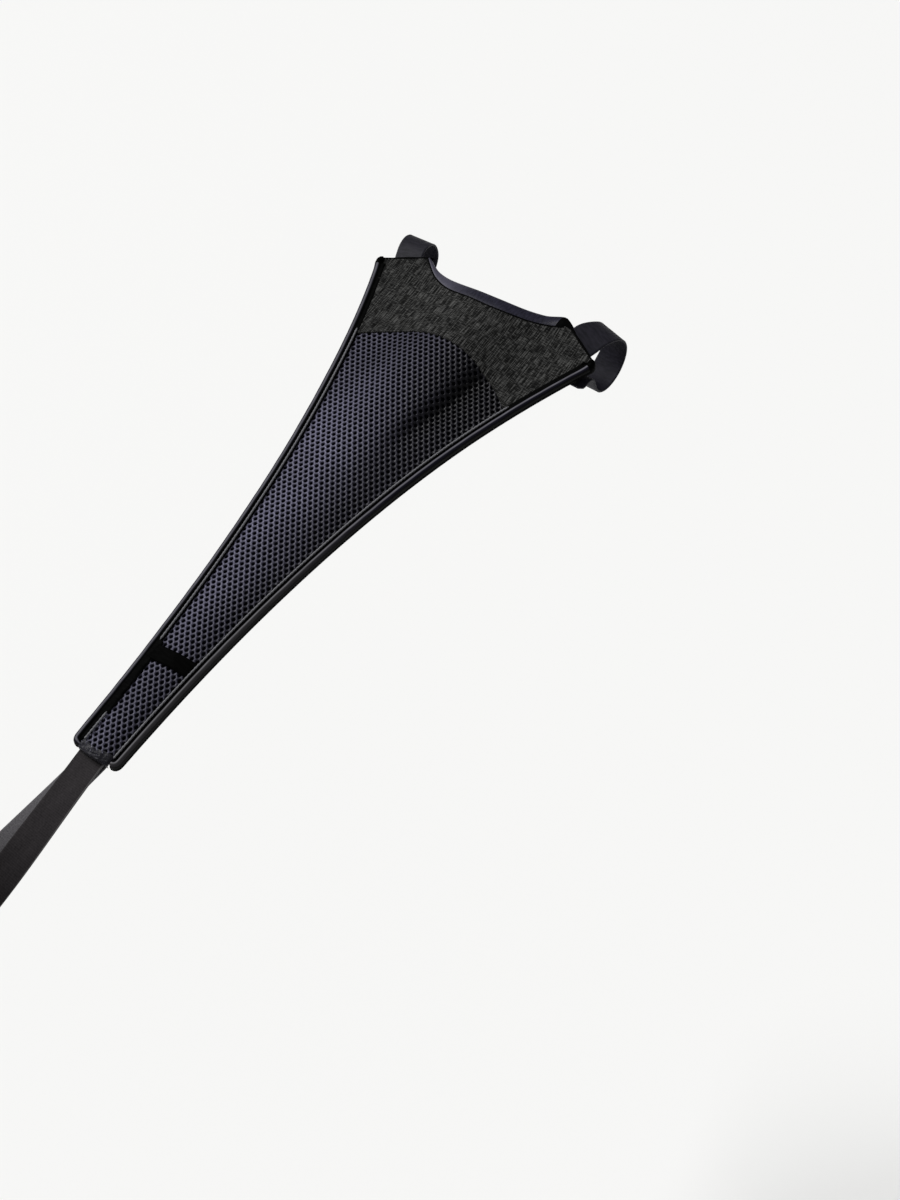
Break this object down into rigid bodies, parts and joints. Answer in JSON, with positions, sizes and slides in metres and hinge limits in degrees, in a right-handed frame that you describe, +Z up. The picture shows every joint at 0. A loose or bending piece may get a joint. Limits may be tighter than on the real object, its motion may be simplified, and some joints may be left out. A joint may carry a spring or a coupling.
{
  "type": "bicycle sweat guard",
  "caption": "Tapering cloth bib strapped between a drop handlebar and the seat post, which keeps sweat off the stem and the top tube.",
  "frame": {"origin": "axis of the handlebar inside the bar straps, on the guard's mid-plane", "axes": "+X along the handlebar to the rider's right, +Y forwards on the bicycle, +Z up; the guard runs back and down from the origin towards -Y"},
  "size_m": [0.1659, 0.6017, 0.241],
  "materials": {
    "lining": "dark knitted lining, matt",
    "yoke": "charcoal heather woven cloth, matt",
    "mesh": "open spacer mesh, grey-violet strands over a near-black base",
    "binding": "dark grey satin binding tape with a slight sheen",
    "label": "black satin ribbon",
    "bar_strap": "smooth dark elastic cloth",
    "tail_strap": "matt woven webbing",
    "hook_tape": "stiff hook tape",
    "loop_tape": "soft napped loop tape"
  },
  "bodies": {
    "root": {"back_lining": "lining", "yoke_panel": "yoke", "mesh_panel": "mesh", "label_tab": "label", "edge_binding_right": "binding", "edge_binding_left": "binding", "neckline_binding": "binding", "bar_strap_right": "bar_strap", "bar_loop_patch_right": "loop_tape", "bar_hook_patch_right": "hook_tape", "bar_strap_left": "bar_strap", "bar_loop_patch_left": "loop_tape", "bar_hook_patch_left": "hook_tape", "tail_strap": "tail_strap", "tail_loop_patch": "loop_tape", "tail_hook_patch": "hook_tape"}
  },
  "joints": []
}
